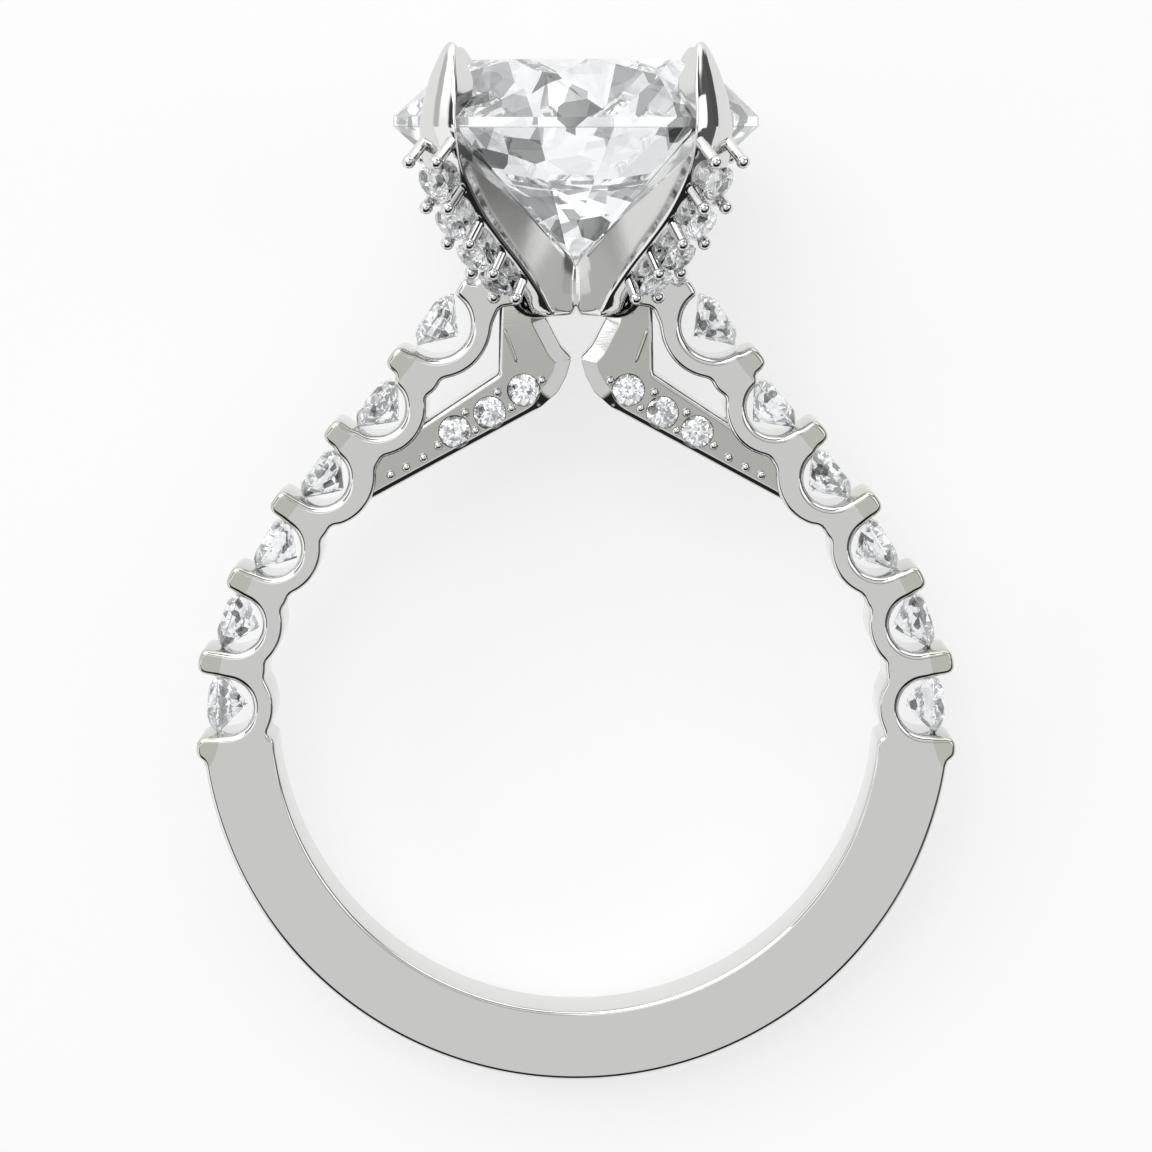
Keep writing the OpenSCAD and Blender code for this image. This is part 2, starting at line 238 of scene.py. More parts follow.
class Field:
    """Distances to a flat outline on a grid that covers the ring."""

    def __init__(self, low, high, step):
        self.low, self.step = np.array(low, float), step
        nx, nz = (int(math.ceil((b - a) / step)) + 1 for a, b in zip(low, high))
        xs, zs = low[0] + step * np.arange(nx), low[1] + step * np.arange(nz)
        self.x, self.z = np.meshgrid(xs, zs, indexing="ij")
        self.d = np.full(self.x.shape, np.inf)

    def add(self, d):
        self.d = np.minimum(self.d, d)

    def cut(self, d):
        self.d = np.maximum(self.d, -d)

    def circle(self, x, z, r):
        return np.hypot(self.x - x, self.z - z) - r

    def polygon(self, points):
        best = np.full(self.x.shape, np.inf)
        inside = np.zeros(self.x.shape, bool)
        for (ax, az), (bx, bz) in zip(points, points[1:] + points[:1]):
            ex, ez = bx - ax, bz - az
            wx, wz = self.x - ax, self.z - az
            t = np.clip((wx * ex + wz * ez) / (ex * ex + ez * ez), 0, 1)
            best = np.minimum(best, np.hypot(wx - t * ex, wz - t * ez))
            if ez:
                crosses = ((az > self.z) != (bz > self.z)) & (wx < ex * wz / ez)
                inside ^= crosses
        return np.where(inside, -best, best)

    def mirrored(self):
        """Joins the outline with its mirror across X = 0. The grid must be even about 0."""
        self.d = np.minimum(self.d, self.d[::-1])

    def soften(self, size):
        """Rounds inner and outer corners with a blur that reaches 2.5 sizes."""
        n = max(1, int(round(2.5 * size / self.step)))
        w = np.exp(-0.5 * (np.arange(-n, n + 1) * self.step / size) ** 2)
        w /= w.sum()
        for axis in (0, 1):
            pad = [(n, n) if a == axis else (0, 0) for a in (0, 1)]
            e = np.pad(self.d, pad, mode="edge")
            size_axis = self.d.shape[axis]
            self.d = sum(c * np.take(e, range(k, k + size_axis), axis) for k, c in enumerate(w))

    def at(self, p):
        """Distance at points, between the grid's own."""
        q = (np.asarray(p, float) - self.low) / self.step
        i = np.clip(q.astype(int), 0, np.array(self.d.shape) - 2)
        fx, fz = (q - i).T
        near = self.d[i[:, 0], i[:, 1]] * (1 - fx) + self.d[i[:, 0] + 1, i[:, 1]] * fx
        far = self.d[i[:, 0], i[:, 1] + 1] * (1 - fx) + self.d[i[:, 0] + 1, i[:, 1] + 1] * fx
        return near * (1 - fz) + far * fz

    def outward(self, p):
        """Unit directions out of the outline at points."""
        h = 1.5 * self.step
        g = np.stack([
            self.at(p + [h, 0]) - self.at(p - [h, 0]),
            self.at(p + [0, h]) - self.at(p - [0, h]),
        ], 1)
        return unit(g)

    def loops(self, spacing):
        """The outline as closed loops of evenly spaced points, with the inside on the left."""
        inside, links = self.d < 0, {}
        code = inside[:-1, :-1] * 1 + inside[1:, :-1] * 2 + inside[1:, 1:] * 4 + inside[:-1, 1:] * 8
        for i, k in zip(*np.nonzero((code > 0) & (code < 15))):
            keys = {"a": (i, k, 0), "b": (i + 1, k, 1), "c": (i, k + 1, 0), "d": (i, k, 1)}
            for a, b in CROSSINGS[int(code[i, k])]:
                links[keys[b]] = keys[a]
        found = []
        while links:
            start, loop = next(iter(links)), []
            key = start
            while key in links:
                loop.append(key)
                key = links.pop(key)
            if len(loop) > SPECK:
                found.append(self._even(np.array([self._cross(*q) for q in loop]), spacing))
        return found

    def _cross(self, i, k, along_z):
        a = self.d[i, k]
        b = self.d[i, k + 1] if along_z else self.d[i + 1, k]
        t = a / (a - b)
        return self.low + self.step * (np.array([i, k + t]) if along_z else np.array([i + t, k]))

    def _even(self, p, spacing):
        p = np.vstack([p, p[:1]])
        run = np.concatenate([[0], np.cumsum(np.linalg.norm(np.diff(p, axis=0), axis=1))])
        n = max(12, int(run[-1] / spacing))
        t = np.linspace(0, run[-1], n, endpoint=False)
        q = np.stack([np.interp(t, run, p[:, c]) for c in (0, 1)], 1)
        q = q - self.outward(q) * self.at(q)[:, None]
        inside_is_left = self.at(q + 0.3 * self.step * self._left(q))[0] < 0
        return q if inside_is_left else q[::-1]

    @staticmethod
    def _left(q):
        t = np.roll(q, -1, 0) - np.roll(q, 1, 0)
        return unit(np.stack([-t[:, 1], t[:, 0]], 1))


# Meshes

class Builder:
    """Collects points and faces in millimetres, and makes a finished object of them."""

    def __init__(self, value=PLAIN):
        self.points, self.faces, self.values, self.flats = [], [], [], set()
        self.value = value

    def add(self, points, values=None):
        first = len(self.points)
        self.points += [tuple(map(float, p)) for p in points]
        self.values += list(values) if values is not None else [self.value] * len(points)
        return np.arange(first, first + len(points))

    def flat(self, corners):
        """A face that is shaded flat."""
        self.flats.add(len(self.faces))
        self.faces.append(tuple(corners))

    def strip(self, a, b):
        """A closed band of faces between two rings."""
        for k in range(len(a)):
            m = (k + 1) % len(a)
            self.faces.append((a[k], a[m], b[m], b[k]))

    def fan(self, ring, centre):
        for k in range(len(ring)):
            self.faces.append((ring[k], ring[(k + 1) % len(ring)], centre))

    def mirror(self):
        """Adds the mirror of everything across X = 0."""
        n, m = len(self.points), len(self.faces)
        self.points += [(-x, y, z) for x, y, z in self.points]
        self.values += self.values
        self.flats |= {m + k for k in self.flats}
        self.faces += [tuple(n + v for v in reversed(f)) for f in self.faces]

    def make(self, name, material, attribute=None):
        mesh = bpy.data.meshes.new(name)
        mesh.from_pydata(self.points, [], [tuple(map(int, f)) for f in self.faces])
        mesh.polygons.foreach_set("use_smooth", [k not in self.flats for k in range(len(self.faces))])
        if attribute:
            layer = mesh.attributes.new(attribute, "FLOAT", "POINT")
            layer.data.foreach_set("value", np.array(self.values, np.float32))
        mesh.transform(AT_REST)
        mesh.validate()
        mesh.materials.append(material)
        solid = bmesh.new()
        solid.from_mesh(mesh)
        bmesh.ops.remove_doubles(solid, verts=solid.verts, dist=1e-7)
        bmesh.ops.recalc_face_normals(solid, faces=solid.faces)
        solid.to_mesh(mesh)
        solid.free()
        mesh.update()
        return put_in_scene(name, mesh)


def put_in_scene(name, data):
    """A new object in the scene that shows the mesh, lamp or camera."""
    piece = bpy.data.objects.new(name, data)
    bpy.context.scene.collection.objects.link(piece)
    return piece


def settle(piece):
    """Fixes a piece of metal to the ring."""
    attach(piece, "root")


def smooth_round(values, reach=8):
    """Averages values along a closed loop."""
    w = np.hanning(2 * reach + 3)[1:-1]
    wrapped = np.concatenate([values[-reach:], values, values[:reach]])
    return np.convolve(wrapped, w / w.sum(), "valid")


def untangle(flat, loop):
    """Evens out points of an inset loop that have crossed at a corner."""
    way = np.roll(loop, -1, 0) - loop
    for _ in range(80):
        bad = np.sum((np.roll(flat, -1, 0) - flat) * way, 1) < 0.1 * np.sum(way * way, 1)
        if not bad.any():
            break
        bad |= np.roll(bad, 1)
        flat = np.where(bad[:, None], 0.5 * (np.roll(flat, 1, 0) + np.roll(flat, -1, 0)), flat)
    return flat


def rounded_plate(build, field, loops, half, radius, rise, mark):
    """A plate with the field's outline and rounded edges, open on its flat faces. half(z) is half its
    thickness, radius how far in the edge reaches, rise its depth as a share of that. An edge with
    little rise is a straight bevel. mark gives points' values from their places and how far round the
    edge they are. Returns each rim."""
    rims = []
    for loop in loops:
        out = field.outward(loop)
        r, share = smooth_round(radius(loop, out)), smooth_round(rise(loop, out))
        bulge = 2 / (1 + ramp(share, 0.4, 0.4))
        sides = []
        for side in (-1, 1):
            ids = []
            for k in range(EDGE_STEPS + 2):
                a = 0.5 * math.pi * min(k, EDGE_STEPS) / EDGE_STEPS
                inset = r * (1 - np.cos(a) ** bulge) + FACE_MARGIN * (k > EDGE_STEPS)
                flat = untangle(loop - out * inset[:, None], loop)
                y = side * (half(flat[:, 1]) - r * share * (1 - np.sin(a) ** bulge))
                ids.append(build.add(np.stack([flat[:, 0], y, flat[:, 1]], 1), mark(flat, k / EDGE_STEPS)))
            sides.append(ids)
        front, back = sides
        build.strip(back[0], front[0])
        for a, b in zip(front, front[1:]):
            build.strip(a, b)
        for a, b in zip(back, back[1:]):
            build.strip(b, a)
        rims.append((front[-1], back[-1], flat))
    return rims


def within(points, ring):
    """Which points lie inside a closed ring."""
    inside = np.zeros(len(points), bool)
    for (ax, az), (bx, bz) in zip(ring, np.roll(ring, -1, 0)):
        if az != bz:
            crosses = (az > points[:, 1]) != (bz > points[:, 1])
            inside ^= crosses & (points[:, 0] < ax + (bx - ax) * (points[:, 1] - az) / (bz - az))
    return inside


def cap(build, rims, side, half, pits=()):
    """Fills the flat face inside the rims, with a round pit for each stone."""
    points, ids, edges = [], [], []

    def on_face(flat, depth=0.0):
        return build.add(np.stack([flat[:, 0], side * (half(flat[:, 1]) - depth), flat[:, 1]], 1))

    def ring(flat, names):
        first = len(points)
        points.extend(map(tuple, flat))
        ids.extend(names)
        edges.extend((first + k, first + (k + 1) % len(flat)) for k in range(len(flat)))

    for rim in rims:
        ring(rim[2], rim[0 if side < 0 else 1])
    turn = np.linspace(0, 2 * math.pi, 40, endpoint=False)
    circle = np.stack([np.cos(turn), np.sin(turn)], 1)
    for pit in map(np.array, pits):
        rows = [on_face(pit + share * PIT_R * circle, depth) for share, depth in PIT_WALL]
        ring(pit + PIT_R * circle, rows[0])
        for a, b in zip(rows, rows[1:]):
            build.strip(a, b)
        build.fan(rows[-1], on_face(pit[None], PIT_DEPTH)[0])
    out, _, tris, origin, _, _ = delaunay_2d_cdt([Vector(p) for p in points], edges, [], 0, 1e-7)
    out = np.array([tuple(co) for co in out])
    corners = [ids[source[0]] if source else on_face(co[None])[0] for co, source in zip(out, origin)]
    middle = out[np.array(tris)].mean(1)
    keep = np.zeros(len(middle), bool)
    for rim in rims:
        keep ^= within(middle, rim[2])
    for x, z in pits:
        keep &= np.hypot(middle[:, 0] - x, middle[:, 1] - z) > 0.98 * PIT_R
    for t, good in zip(tris, keep):
        if good:
            build.flat([corners[v] for v in t])


# Nodes and their maths

class Value:
    """A node's output that can be written in an expression."""

    def __init__(self, nodes, socket):
        self.nodes, self.socket = nodes, socket

    def _math(self, operation, other, swapped=False):
        pair = (other, self) if swapped else (self, other)
        return self.nodes.node("ShaderNodeMath", {"operation": operation}, dict(enumerate(pair)))

    def __add__(self, other):
        return self._math("ADD", other)

    __radd__ = __add__

    def __sub__(self, other):
        return self._math("SUBTRACT", other)

    def __rsub__(self, other):
        return self._math("SUBTRACT", other, True)

    def __mul__(self, other):
        return self._math("MULTIPLY", other)

    __rmul__ = __mul__

    def above(self, other):
        return self._math("GREATER_THAN", other)


class Nodes:
    """Builds a node tree. Every node comes from node(), and the maths is written with Value."""

    def __init__(self, tree):
        self.tree = tree
        tree.nodes.clear()

    def node(self, kind, settings=None, sockets=None, out=0):
        """Adds a node and returns one of its outputs. An input takes a constant, another node's output,
        or a list of outputs if it joins several."""
        n = self.tree.nodes.new(kind)
        for key, value in (settings or {}).items():
            if key == "stops":
                stops = n.color_ramp.elements
                while len(stops) > 1:
                    stops.remove(stops[-1])
                stops[0].position, stops[0].color = value[0]
                for position, shade in value[1:]:
                    stops.new(position).color = shade
            else:
                setattr(n, key, value)
        for key, given in (sockets or {}).items():
            for value in given if isinstance(given, list) else [given]:
                if isinstance(value, Value):
                    self.tree.links.new(value.socket, n.inputs[key])
                else:
                    n.inputs[key].default_value = value
        return Value(self, n.outputs[out]) if n.outputs else None

    def noise(self, place, scale, detail=1.0):
        return self.node("ShaderNodeTexNoise", None, {"Vector": place, "Scale": scale, "Detail": detail})

    def blend(self, share, first, second):
        """The first colour where the share is 0, the second where it is 1."""
        return self.node("ShaderNodeMix", {"data_type": "RGBA"}, {0: share, 6: first, 7: second}, 2)


def new_material(name):
    material = bpy.data.materials.new(name)
    material.use_nodes = True
    return material, Nodes(material.node_tree)


def colour(values, share=1.0):
    return (*(share * v for v in values), 1.0)


def polished_gold(name, settings, metal, part=None):
    """White gold with a mirror polish and faint wear. part is the warmer, darker colour of prong tips or
    bridge faces."""
    material, s = new_material(name)
    place = s.node("ShaderNodeTexCoord", out=3)
    cloud, fine = s.noise(place, 420.0), s.noise(place, 5200.0)
    along_polish = s.node("ShaderNodeMapping", None, {
        "Vector": place, "Rotation": (0.4, 0.2, 0.7), "Scale": (1, 9, 9)})
    lines = s.noise(along_polish, 2400.0)
    base = s.blend(cloud, colour(metal), colour(metal, 0.985))
    if part:
        marked = s.node("ShaderNodeAttribute", {"attribute_name": "facing_part"}, out=2)
        base = s.blend(marked.above(0.0), base, colour(part))
    bump = s.node("ShaderNodeBump", None, {
        "Strength": 0.03, "Distance": 0.01 * MM, "Height": lines * 0.6 + fine * 0.4})
    shell = s.node("ShaderNodeBsdfPrincipled", None, {
        "Base Color": base, "Metallic": 1.0, "Roughness": settings.polish + 0.02 * fine, "Normal": bump})
    s.node("ShaderNodeOutputMaterial", None, {"Surface": shell})
    return material


def cut_diamond(name, settings, cells, dark):
    """A clear stone whose colour holds painted flashes and painted dark reflections as sharp light and dark
    patches, with a faint painted glow in the light ones. dark is where the dark patches end on their scale from
    0 to 1."""
    material, s = new_material(name)
    place = s.node("ShaderNodeTexCoord", out=3)
    painted_flash_patch = s.node("ShaderNodeTexVoronoi", None, {"Vector": place, "Scale": cells}, 1)

    def painted_shades(*shares):
        """Shares of the stone's colour in the painted patches: at the start and end of the painted dark, the
        start of the painted light, and past it.
        """
        steps = zip((0.0, dark, dark + 0.03, dark + 0.2), shares)
        stops = [(at, colour(settings.stone_colour, share)) for at, share in steps]
        return s.node("ShaderNodeValToRGB", {"stops": stops}, {"Fac": painted_flash_patch})

    # Base Color paints the light flashes and the dark reflections of the facets. Emission is a painted glow in
    # the light patches
    shell = s.node("ShaderNodeBsdfPrincipled", None, {
        "Base Color": painted_shades(0.03, 0.06, 0.7, 1.0), "Roughness": 0.0, "IOR": 2.417,
        "Transmission Weight": 1.0,
        "Emission Color": painted_shades(0.0, 0.02, 0.5, 1.0), "Emission Strength": 0.075})
    s.node("ShaderNodeOutputMaterial", None, {"Surface": shell})
    return material


# Settings

class RingSettings(bpy.types.PropertyGroup):
    edge_radius: FloatProperty(
        name="Edge radius", description="Rounding of the cups' and prongs' edges",
        default=0.13 * MM, min=0, unit="LENGTH")
    shank_radius: FloatProperty(
        name="Shank edge radius", description="Rounding of the shank's outer edges",
        default=0.15 * MM, min=0, unit="LENGTH")
    stud_diameter: FloatProperty(
        name="Stud diameter", description="Thickness of the rods that hold the claw stones",
        default=0.31 * MM, min=0, unit="LENGTH")
    stud_length: FloatProperty(
        name="Stud length", description="Length of those rods",
        default=0.85 * MM, min=0, unit="LENGTH")
    ball_diameter: FloatProperty(
        name="Stud end diameter", description="Diameter of a stud's round end",
        default=0.37 * MM, min=0, unit="LENGTH")
    bead_diameter: FloatProperty(
        name="Bead diameter", description="Diameter of the grain beads on the bridges",
        default=0.26 * MM, min=0, unit="LENGTH")
    polish: FloatProperty(
        name="Roughness", description="Roughness of the polished metal",
        default=0.045, min=0, max=1, subtype="FACTOR")
    gold_colour: FloatVectorProperty(
        name="White gold", description="Colour of the metal",
        default=(0.73, 0.73, 0.722), size=3, min=0, max=1, subtype="COLOR")
    bridge_colour: FloatVectorProperty(
        name="Bridges", description="Colour of the bridges' faces",
        default=(0.53, 0.53, 0.50), size=3, min=0, max=1, subtype="COLOR")
    tip_colour: FloatVectorProperty(
        name="Prong tips", description="Colour of the prongs' tips",
        default=(0.60, 0.60, 0.555), size=3, min=0, max=1, subtype="COLOR")
    stone_colour: FloatVectorProperty(
        name="Stones", description="Tint of the stones",
        default=(0.965, 0.985, 1.0), size=3, min=0, max=1, subtype="COLOR")
    floor_colour: FloatVectorProperty(
        name="Floor", description="Colour of the floor",
        default=(0.34, 0.34, 0.34), size=3, min=0, max=1, subtype="COLOR")


# Pieces

def block(low, high, lean, middle):
    """Corners of a four-sided shape that opens along a lean, from half its width and height at each end."""
    a = math.radians(lean - 90)
    (mx, mz), c, s = middle, math.cos(a), math.sin(a)
    corners = ((-low[0], low[1]), low, high, (-high[0], high[1]))
    return [(mx + x * c - z * s, mz + x * s + z * c) for x, z in corners]


def band_field():
    """The band's outline: cups, prongs, head arms and bridge roots joined, the openings cut, the shank added."""
    field = Field((-11.4, -11.0), (11.4, 13.0), step=0.04)
    for x, z, lean, r, _ in CUPS:
        outer = r + CUP_WALL
        below_rim = field.polygon(block((outer, -outer), (outer, CUP_RIM), lean, (x, z)))
        field.add(np.maximum(field.circle(x, z, outer), below_rim))
    for i in range(len(CUPS)):
        (x, z), lean, h, w = prong(i)
        corner = w / 2 - PRONG_ROUND
        core = block((corner, -PRONG_ROOT), (corner, h - PRONG_ROUND), lean, (x, z))
        field.add(field.polygon(core) - PRONG_ROUND)
        if i < len(CUPS) - 1:
            a = math.radians(lean)
            field.add(field.circle(x - WEB_DROP * math.cos(a), z - WEB_DROP * math.sin(a), WEB_R))
    field.add(field.polygon(HEAD_ARM))
    field.add(np.maximum(field.circle(*BRIDGE_ROOT), field.x - BRIDGE_ROOT[0] + BRIDGE_ROOT_END))
    for x, z, lean, r, _ in CUPS:
        field.cut(field.circle(x, z, r))
        field.cut(field.polygon(block((r, 0), (r + MOUTH_FLARE, MOUTH_DEPTH), lean, (x, z))))
    shank = np.maximum(field.circle(0, 0, SHANK_R), -field.circle(0, 0, HOLE_R))
    shank = np.maximum(shank, field.z - SHANK_TOP)
    field.add(np.maximum(shank, -field.polygon(FLANK)))
    field.mirrored()
    field.soften(size=0.08)
    return field


def prong(i):
    """Root, lean, height and width of the prong below cup i."""
    x, z, lean, _, h = CUPS[i]
    if i < len(CUPS) - 1:
        nx, nz, nlean = CUPS[i + 1][:3]
        return ((x + nx) / 2, (z + nz) / 2), (lean + nlean) / 2, h, PRONG_W
    px, pz = CUPS[i - 1][:2]
    return (x + (x - px) / 2, z + (z - pz) / 2), 0.0, h, LAST_PRONG_W


def tip_depth(flat):
    """How far inside the nearest prong's tip each point lies: past the line where the tip begins, and
    within its reach sideways."""
    best, value = np.full(len(flat), np.inf), np.full(len(flat), PLAIN)
    x, z = np.abs(flat[:, 0]), flat[:, 1]
    for i in range(len(CUPS)):
        (bx, bz), lean, h, _ = prong(i)
        c, s = math.cos(math.radians(lean)), math.sin(math.radians(lean))
        along = (x - bx) * c + (z - bz) * s
        away = np.abs(-(x - bx) * s + (z - bz) * c)
        value = np.where(away < best, np.minimum(along - (h - TIP_LENGTH), TIP_REACH - away), value)
        best = np.minimum(best, away)
    return value


class RING_OT_band(bpy.types.Operator):
    """Makes the shank and the shoulders with their cups and prongs as one smooth band"""
    bl_idname = "ring.band"
    bl_label = "Band"

    def execute(self, context):
        s = context.scene.ring_settings
        field = band_field()
        loops = field.loops(spacing=0.075)
        if not loops:
            raise RuntimeError("the band's outline is empty")
        edge, shank = s.edge_radius / MM, s.shank_radius / MM

        def radius(p, out):
            """The shank's outer edges below the shoulders and the cups' inner edges are rounder."""
            outer = ramp(np.hypot(p[:, 0], p[:, 1]), SHANK_EDGE_R, 0.3)
            low = ramp(-p[:, 1], -SHANK_EDGE_TOP, 1.5)
            cups = np.zeros(len(p))
            for x, z, _, r, _ in CUPS:
                off = np.abs(np.hypot(np.abs(p[:, 0]) - x, p[:, 1] - z) - r)
                cups = np.maximum(cups, np.clip(1.3 - off / CUP_EDGE_REACH, 0, 1))
            return edge + (shank - edge) * outer * low + CUP_EXTRA * cups

        build = Builder()
        rims = rounded_plate(
            build, field, loops, half_width, radius, rise=lambda p, out: np.ones(len(p)),
            mark=lambda flat, share: tip_depth(flat))
        for side in (-1, 1):
            cap(build, rims, side, half_width)
        gold = polished_gold("polished_white_gold_band", s, s.gold_colour, s.tip_colour)
        piece = build.make("band", gold, "facing_part")
        settle(piece)
        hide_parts("ring_mount")
        return {"FINISHED"}


class RING_OT_bridges(bpy.types.Operator):
    """Makes the pointed bridge bars with the pits for their stones and the rib on each post"""
    bl_idname = "ring.bridges"
    bl_label = "Bridges"

    def execute(self, context):
        s = context.scene.ring_settings
        field = Field((-0.4, 5.6), (5.8, 12.2), step=0.025)
        field.add(field.polygon(BRIDGE))
        for x, z, _, r, _ in CUPS[:3]:
            field.cut(field.circle(x, z, r))
        field.soften(size=0.03)
        loops = field.loops(spacing=0.05)
        if not loops:
            raise RuntimeError("the bridges' outline is empty")

        def inner(p, out):
            """1 on the post's inner side, 0 elsewhere."""
            return (out[:, 0] < -0.25) * ramp(p[:, 1], 8.4, 0.3) * ramp(-p[:, 0], -1.3, 0.3)

        def under(out):
            """1 on the lower side, 0 elsewhere."""
            return ramp(-out[:, 1], 0.2, 0.3)

        def radius(p, out):
            below = BRIDGE_UNDER * under(out)
            return BRIDGE_EDGE + below + (BRIDGE_BEVEL - below) * inner(p, out)

        def rise(p, out):
            bevel = inner(p, out)
            return 1 - BEVEL_FALL * bevel - UNDER_FALL * under(out) * (1 - bevel)

        def half(z):
            return np.full(len(z), BRIDGE_HALF)

        build = Builder(FACING)
        rims = rounded_plate(
            build, field, loops, half, radius, rise,
            mark=lambda flat, share: np.full(len(flat), share - FACE_SHARE))
        for side in (-1, 1):
            cap(build, rims, side, half, BRIDGE_STONES)
            add_rib(build, side)
        build.mirror()
        gold = polished_gold("polished_white_gold_bridges", s, s.gold_colour, s.bridge_colour)
        settle(build.make("bridges", gold, "facing_part"))
        return {"FINISHED"}


def add_rib(build, side):
    """A slim half-round rib on a bridge's post."""
    (x0, z0), (x1, z1) = POST_RIB
    length = math.hypot(x1 - x0, z1 - z0)
    ux, uz = (x1 - x0) / length, (z1 - z0) / length
    turn = np.linspace(0, 2 * math.pi, 12, endpoint=False)
    rings = []
    for t in np.linspace(0, 1, 15):
        r = RIB_R * math.sqrt(max(0.02, 1 - (2 * t - 1) ** 8))
        x = x0 + (x1 - x0) * t - uz * r * np.cos(turn)
        z = z0 + (z1 - z0) * t + ux * r * np.cos(turn)
        rings.append(build.add(np.stack([x, side * (BRIDGE_HALF + RIB_RISE * r * np.sin(turn)), z], 1)))
    for a, b in zip(rings, rings[1:]):
        build.strip(a, b)
    build.flat(rings[0])
    build.flat(rings[-1])


def smooth_path(keys, per_step):
    """Points on a smooth curve through the keys, and each key's own values with it."""
    k = np.array(keys, float)
    run = np.concatenate([[0], np.cumsum(np.linalg.norm(np.diff(k[:, :2], axis=0), axis=1) + 1e-6)])
    tangent = np.gradient(k, run, axis=0)
    out = []
    for i in range(len(k) - 1):
        h = run[i + 1] - run[i]
        for t in np.linspace(0, 1, per_step, endpoint=False):
            a, b = 2 * t ** 3 - 3 * t ** 2 + 1, t ** 3 - 2 * t ** 2 + t
            c, d = -2 * t ** 3 + 3 * t ** 2, t ** 3 - t ** 2
            out.append(a * k[i] + b * h * tangent[i] + c * k[i + 1] + d * h * tangent[i + 1])
    out.append(k[-1])
    return np.array(out)


def claw_section(outer, inner, half):
    """One cross-section of a claw: distance from the axis, height, sideways. Its outer face is crowned,
    and no edge takes up more than a share of a thin section."""
    o, i = np.array(outer), np.array(inner)
    depth = np.linalg.norm(o - i)
    axis = (o - i) / depth
    low = min(1, max(0, (CLAW_SOFT_Z - outer[1]) / CLAW_SOFT_RUN))
    edge = min(CLAW_EDGE + (CLAW_SOFT_EDGE - CLAW_EDGE) * low, 0.4 * half, 0.25 * depth)
    back = min(CLAW_BACK_EDGE, 0.2 * half, 0.15 * depth)
    rim = half - edge * (1 - math.sin(CROWN_SLOPE))
    bend = rim / math.sin(CROWN_SLOPE)
    top = depth + CLAW_CROWN * half
    start = top - bend * (1 - math.cos(CROWN_SLOPE)) - edge * math.cos(CROWN_SLOPE)
    back_turns = np.linspace(0, math.pi / 2, 4)
    edge_turns = np.linspace(0, math.pi / 2 - CROWN_SLOPE, 6)
    crown_turns = np.linspace(CROWN_SLOPE, 0, 9)[1:]
    right = [(back * (1 - math.cos(t)), half - back * (1 - math.sin(t))) for t in back_turns]
    right += [(back + (start - back) * t, half) for t in (0.05, 0.35, 0.65, 0.95)]
    right += [(start + edge * math.sin(t), half - edge * (1 - math.cos(t))) for t in edge_turns]
    right += [(top - bend * (1 - math.cos(t)), bend * math.sin(t)) for t in crown_turns]
    left = [(a, -b) for a, b in right[-2::-1]]
    return [(*(i + axis * a), b) for a, b in right + left]


def around(turn, out, z, side):
    """A claw's point in the ring, from its distance out, its height and its place sideways."""
    c, n = math.cos(math.radians(turn)), math.sin(math.radians(turn))
    return (out * c - side * n, out * n + side * c, z)


class RING_OT_head(bpy.types.Operator):
    """Makes the four claws and the foot where they join under the centre stone"""
    bl_idname = "ring.head"
    bl_label = "Head"

    def execute(self, context):
        s = context.scene.ring_settings
        build = Builder()
        keys = [(*outer, *inner, w) for outer, inner, w in CLAW]
        path = smooth_path(keys, per_step=5)
        rings = [claw_section((ox, oz), (ix, iz), w) for ox, oz, ix, iz, w in path]
        for turn in CLAW_TURNS:
            ids = [build.add([around(turn, *p) for p in ring]) for ring in rings]
            for a, b in zip(ids, ids[1:]):
                build.strip(a, b)
            for end in (0, -1):
                middle = around(turn, *np.mean(rings[end], axis=0))
                build.fan(ids[end], build.add([middle])[0])
        add_foot(build)
        settle(build.make("head", polished_gold("polished_white_gold_head", s, s.gold_colour)))
        return {"FINISHED"}


def add_foot(build):
    """The foot under the stone's point, coved between the claws and arched below."""
    turns = np.linspace(0, 2 * math.pi, 176, endpoint=False)
    away = np.radians(np.abs(np.degrees(turns) % 90 - 45))
    slant = math.hypot(1, FOOT_TAPER)
    corner = (FOOT_HALF + FOOT_COVE * slant) / (1 + FOOT_TAPER)
    joint = math.atan2(corner - FOOT_COVE / slant, corner - FOOT_COVE * FOOT_TAPER / slant)
    centre = corner * math.sqrt(2)
    off = math.pi / 4 - away
    cove = centre * np.cos(off) - np.sqrt(np.maximum(FOOT_COVE ** 2 - (centre * np.sin(off)) ** 2, 0))
    bar = np.minimum(FOOT_REACH, FOOT_HALF / np.maximum(np.sin(away) + FOOT_TAPER * np.cos(away), 1e-6))
    shape = np.where(away > joint, cove, bar)
    share = np.clip((away - joint) / (math.pi / 4 - joint), 0, 1)
    share = share * share * (3 - 2 * share)
    bottom = FOOT_Z + FOOT_ARCH * share

    def ring(rho, z):
        return build.add(np.stack([rho * np.cos(turns), rho * np.sin(turns), z], 1))

    def top(rho):
        return FOOT_TOP + FOOT_TOP_SLOPE * rho - FOOT_TOP_DIP * share * rho / shape

    low, high = FOOT_LOW_EDGE, FOOT_TOP_EDGE
    rows = [ring(shape * f, bottom) for f in (0.25, 0.55, 0.85)]
    for a in np.linspace(0, math.pi / 2, 6):
        rows.append(ring(shape - low * (1 - math.sin(a)), bottom + low * (1 - math.cos(a))))
    for f in (0.3, 0.6):
        rows.append(ring(shape, bottom + low + (top(shape) - (low + high) - bottom) * f))
    for a in np.linspace(0, math.pi / 2, 6):
        rows.append(ring(shape - high * (1 - math.cos(a)), top(shape) - high * (1 - math.sin(a))))
    for f in (0.7, 0.45, 0.2):
        rows.append(ring(shape * f, top(shape * f)))
    for a, b in zip(rows, rows[1:]):
        build.strip(a, b)
    build.fan(rows[0], build.add([(0, 0, FOOT_Z + FOOT_MIDDLE)])[0])
    build.fan(rows[-1], build.add([(0, 0, FOOT_TOP)])[0])


# Geometry Nodes

